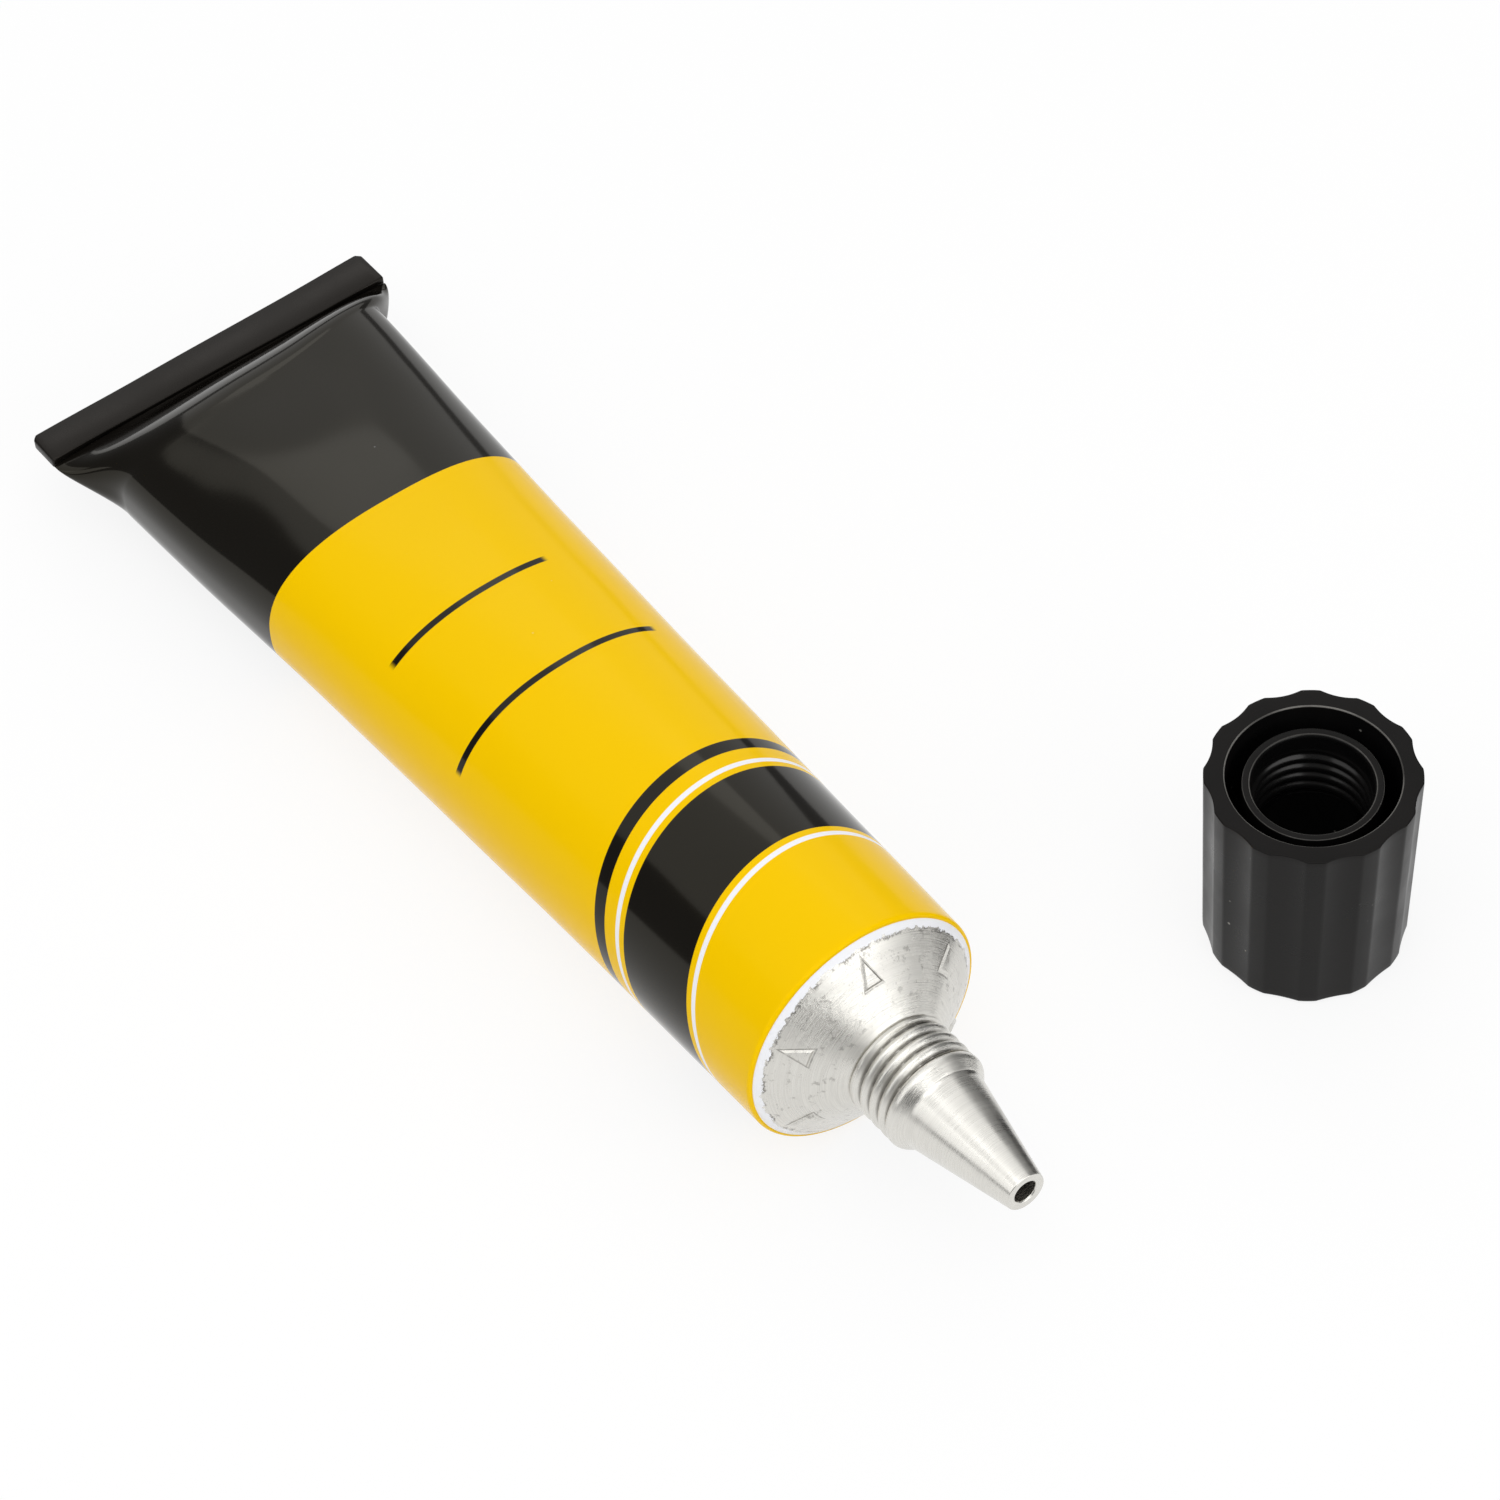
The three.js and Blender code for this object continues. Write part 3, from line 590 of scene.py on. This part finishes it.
# screw cap, in mm
cap = {
    "height": 21.8, "rim": 9.9, "draft": 0.5, "flutes": 12, "fluteDepth": 0.4, "fluteHalf": 10.0, "fluteTurn": 6.8,
    "fluteFrom": 8.2, "fluteFull": 8.9, "fluteFoot": 0.55,
    "skirtBore": 7.95, "skirtDraft": 0.3, "endWall": 1.2, "lipRecess": 1.2, "innerOut": 6.42, "innerBore": 5.57,
    "threadDepth": 0.42, "pitch": 1.3, "threadLead": 1.9, "threadTurns": 5.0, "threadFade": 0.8, "threadRoom": 9.0,
    "steps": 360,
    "sheen": (1, 0.96, 0.92, 1), "black": rgb(11, 11, 11), "paler": rgb(15, 14, 14), "dust": rgb(190, 186, 180),
    "paintedHighlight": rgb(128, 126, 122), "boreGloss": 0.5, "rough": (0.26, 0.36), "speckShade": 0.4,
    "specks": {"Spacing": 420.0, "Size": 0.08, "Share": 0.22}, "skin": {"Grain": 5200.0, "Patch": 160.0},
}


def makeCap(material):
    c = cap
    base, top, lip = c["rim"] - c["draft"], c["height"], c["height"] - c["lipRecess"]
    line = softLine([(0, 0), (base - 0.35, 0, 0.2), (base, 0.35, 0.3), (c["rim"], top, 0.14),
                     (c["skirtBore"] + 0.16, top, 0.08), (c["skirtBore"], top - 0.16, 0.08),
                     (c["skirtBore"] - c["skirtDraft"], c["endWall"], 0.4), (c["innerOut"] + 0.1, c["endWall"], 0.4),
                     (c["innerOut"], lip, 0.16), (c["innerBore"] + 0.22, lip, 0.12),
                     (c["innerBore"], lip - 0.3, 0.2)], 0.7)
    plainTo = lip - c["threadRoom"]
    line += softLine([(c["innerBore"], lip - 0.3), (c["innerBore"], plainTo)], 0.1)[1:]
    line += softLine([(c["innerBore"], plainTo), (c["innerBore"], c["endWall"], 0.3), (0, c["endWall"])], 0.8)[1:]
    bm = bmesh.new()
    spinLine(bm, [Vector((p.x, 0, p.y)) for p in line], (0, 0, 1), c["steps"])
    period = 360 / c["flutes"]
    threadTop = lip - c["threadLead"]
    threadEnd = threadTop - c["threadTurns"] * c["pitch"]
    for v in bm.verts:
        r, angle = math.hypot(v.co.x, v.co.y), math.atan2(v.co.y, v.co.x)
        if r > c["fluteFrom"]:
            # hollow flutes between round lands
            aside = (math.degrees(angle) - c["fluteTurn"] + period / 2) % period - period / 2
            share = max(0, 1 - (aside / c["fluteHalf"]) ** 2)
            deep = c["fluteDepth"] * (c["fluteFoot"] + (1 - c["fluteFoot"]) * v.co.z / top)
            grown = r - deep * share * smoothStep(c["fluteFrom"], c["fluteFull"], r)
        elif abs(r - c["innerBore"]) < 0.02 and threadEnd < v.co.z < threadTop:
            # inner thread, right-handed, fading in and out
            phase = v.co.z / c["pitch"] - angle / turn
            ridge = (0.5 + 0.5 * math.cos(turn * phase)) ** 0.8
            room = smoothStep(threadTop, threadTop - c["threadFade"], v.co.z)
            room *= smoothStep(threadEnd, threadEnd + c["threadFade"], v.co.z)
            grown = r - c["threadDepth"] * ridge * room
        else:
            continue
        v.co.x *= grown / r
        v.co.y *= grown / r
    return makePiece("capShell", bm, capPlace, material, "cap", ["cap_shell"])


# radius and height of the edges that get a light line as a painted highlight, the reach of the line, and how strong
# it is
highlightEdges = [
    (cap["skirtBore"] + 0.06, cap["height"] - 0.05, 0.12, 0.8),
    (cap["innerOut"], cap["height"] - cap["lipRecess"], 0.1, 0.6),
    (cap["innerBore"] + 0.16, cap["height"] - cap["lipRecess"] - 0.05, 0.1, 0.55),
]


def capPlastic():
    c = cap
    material, tree, shader = newMaterial("capPlastic", **{"Specular IOR Level": 0.13, "Specular Tint": c["sheen"],
                                                           "Coat Roughness": 0.17})
    skin = useGroup(tree, fineSkin, c["skin"])
    specks = useGroup(tree, dust, c["specks"])
    colour = mixColour(tree, patchy(tree, skin, 0.0, 1.0), c["black"], c["paler"])
    colour = mixColour(tree, calc(tree, "MULTIPLY", specks.outputs["Mask"], c["speckShade"]), colour, c["dust"])
    spot = useGroup(tree, capCoords)
    # light lines on the edges of the rim and the lip are painted highlights, standing in for light caught by the
    # rounded edges
    paintedHighlight = 0.0
    for edgeRadius, edgeHeight, half, much in highlightEdges:
        off = addNode(tree, "ShaderNodeCombineXYZ", {
            "X": calc(tree, "SUBTRACT", spot.outputs["Radius"], edgeRadius),
            "Y": calc(tree, "SUBTRACT", spot.outputs["Height"], edgeHeight)}).outputs[0]
        away = addNode(tree, "ShaderNodeVectorMath", {0: off}, operation="LENGTH").outputs["Value"]
        line = calc(tree, "MULTIPLY", ramp(tree, away, half, half * 0.4), much)
        paintedHighlight = calc(tree, "MAXIMUM", paintedHighlight, line)
    paintedHighlight = calc(tree, "MULTIPLY", paintedHighlight, ramp(tree, skin.outputs["Patches"], 0.35, 0.6, 0.35, 1.0))
    tree.links.new(mixColour(tree, paintedHighlight, colour, c["paintedHighlight"]), shader.inputs["Base Color"])
    tree.links.new(patchy(tree, skin, *c["rough"]), shader.inputs["Roughness"])
    # glossier inside the bore
    inBore = ramp(tree, spot.outputs["Radius"], c["innerBore"] + 0.2, c["innerBore"])
    tree.links.new(calc(tree, "MULTIPLY", inBore, c["boreGloss"]), shader.inputs["Coat Weight"])
    addBump(tree, shader, 0.2, 0.03, skin.outputs["Height"])
    return material


# liner at the bottom of the cap, dented by the nozzle
liner = {"radius": 4.95, "from": 1.35, "thick": 0.8, "ringIn": 1.15, "ringOut": 2.0, "dent": 0.12, "steps": 96}


def makeLiner(material):
    n = liner
    top = n["from"] + n["thick"]
    line = softLine([(0, n["from"]), (n["radius"], n["from"], 0.1), (n["radius"], top, 0.12),
                     (n["ringOut"] + 0.15, top, 0.05), (n["ringOut"], top - n["dent"], 0.05),
                     (n["ringIn"], top - n["dent"], 0.05), (n["ringIn"] - 0.15, top, 0.05), (0, top)], 0.5)
    bm = bmesh.new()
    spinLine(bm, [Vector((p.x, 0, p.y)) for p in line], (0, 0, 1), n["steps"])
    return makePiece("sealDisc", bm, capPlace, material, "liner", ["cap_liner"])


def plainGrain(name, light, dark, grain, rough):
    # matt stuff with a fine two-tone grain
    material, tree, shader = newMaterial(name)
    skin = useGroup(tree, fineSkin, {"Grain": grain, "Patch": 200.0})
    tree.links.new(mixColour(tree, skin.outputs["Height"], dark, light), shader.inputs["Base Color"])
    tree.links.new(patchy(tree, skin, rough - 0.08, rough + 0.08), shader.inputs["Roughness"])
    addBump(tree, shader, 0.2, 0.05, skin.outputs["Height"])
    return material


def dress(nodeName, material):
    # a CAD node that stays gets a finish of its own
    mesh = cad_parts[nodeName].data
    mesh.materials.clear()
    mesh.materials.append(material)


makeSleeve(sleeveLacquer())
makeHead(bareMetal())
makeFold(blackLacquer())
makeCap(capPlastic())
# the liner's near-black colours are painted shade for the deep bottom of the cap
makeLiner(plainGrain("linerFoam", rgb(30, 29, 28), rgb(18, 17, 17), 1600.0, 0.7))
dress("tail_seal_strip", plainGrain("sealCompound", rgb(58, 50, 42), rgb(40, 34, 28), 900.0, 0.6))
dress("glue_fill", plainGrain("glueSyrup", rgb(236, 226, 194), rgb(226, 214, 176), 300.0, 0.2))

# floor, light and camera
studio = {
    "floorShade": rgb(246, 246, 246), "floorGlow": 0.85, "roomGrey": 0.22,
    # panels: azimuth and elevation of the centre in degrees, distance, width and height in metres, radiance
    "panels": [("overhead", -75, 80, 0.85, 1.7, 1.5, 0.85), ("backWall", -122, 26, 0.9, 0.8, 0.6, 0.8),
               ("rightBox", 104, 24, 0.8, 0.8, 0.5, 1.8), ("frontFill", 62, 66, 1.0, 0.8, 0.8, 1.1),
               ("leftBox", 2, 28, 0.8, 0.6, 0.5, 1.1)],
}
photoView = {"azimuth": 55.616, "elevation": 51.5625, "roll": -2.779, "distance": 0.6, "aim": (2.526, -1.16),
             "focal": 6349.3, "pixels": 1500, "sensor": 36}


def fromAngles(azimuth, elevation):
    a, e = math.radians(azimuth), math.radians(elevation)
    return Vector((math.sin(a) * math.cos(e), -math.cos(a) * math.cos(e), math.sin(e)))


def makeFloor():
    bm = bmesh.new()
    bmesh.ops.create_grid(bm, x_segments=1, y_segments=1, size=3)
    mesh = bpy.data.meshes.new("floor")
    bm.to_mesh(mesh)
    bm.free()
    floor = bpy.data.objects.new("floor", mesh)
    scene.collection.objects.link(floor)
    material, tree, shader = newMaterial("paleFloor", **{"Base Color": studio["floorShade"], "Roughness": 0.9,
                                                         "Specular IOR Level": 0.1})
    path = addNode(tree, "ShaderNodeLightPath")
    seen = calc(tree, "MAXIMUM", path.outputs["Is Camera Ray"], path.outputs["Is Glossy Ray"])
    seen = calc(tree, "MAXIMUM", seen, path.outputs["Is Transmission Ray"])
    glow = addNode(tree, "ShaderNodeEmission", {"Color": (1, 1, 1, 1), "Strength": 1.0})
    both = addNode(tree, "ShaderNodeMixShader", {0: calc(tree, "MULTIPLY", seen, studio["floorGlow"]),
                                                 1: shader.outputs[0], 2: glow.outputs[0]})
    tree.links.new(both.outputs[0], tree.nodes["Material Output"].inputs["Surface"])
    mesh.materials.append(material)


def makeLights():
    world = bpy.data.worlds.new("room")
    world.use_nodes = True
    world.node_tree.nodes["Background"].inputs["Color"].default_value = (1, 1, 1, 1)
    world.node_tree.nodes["Background"].inputs["Strength"].default_value = studio["roomGrey"]
    scene.world = world
    for name, azimuth, elevation, distance, width, height, radiance in studio["panels"]:
        lamp = bpy.data.lights.new(name, "AREA")
        lamp.shape = "RECTANGLE"
        lamp.size, lamp.size_y = width, height
        lamp.energy = radiance * math.pi * width * height
        panel = bpy.data.objects.new(name, lamp)
        scene.collection.objects.link(panel)
        out = fromAngles(azimuth, elevation)
        panel.location = out * distance
        panel.rotation_euler = out.to_track_quat("Z", "Y").to_euler()


def makeCamera():
    p = photoView
    back = fromAngles(p["azimuth"], p["elevation"])
    a, r = math.radians(p["azimuth"]), math.radians(p["roll"])
    right = Vector((math.cos(a), math.sin(a), 0))
    up = back.cross(right)
    right, up = right * math.cos(r) + up * math.sin(r), up * math.cos(r) - right * math.sin(r)
    lens = bpy.data.cameras.new("photoCamera")
    lens.sensor_width = p["sensor"]
    lens.lens = p["focal"] / p["pixels"] * p["sensor"]
    lens.clip_start, lens.clip_end = 0.01, 20
    camera = bpy.data.objects.new("photoCamera", lens)
    scene.collection.objects.link(camera)
    aim = Vector((p["aim"][0] * mm, p["aim"][1] * mm, 0))
    facing = Matrix((right, up, back)).transposed().to_4x4()
    camera.matrix_world = Matrix.Translation(aim + back * p["distance"]) @ facing
    scene.camera = camera


makeFloor()
makeLights()
makeCamera()
print("stage set")
print("scene ready")
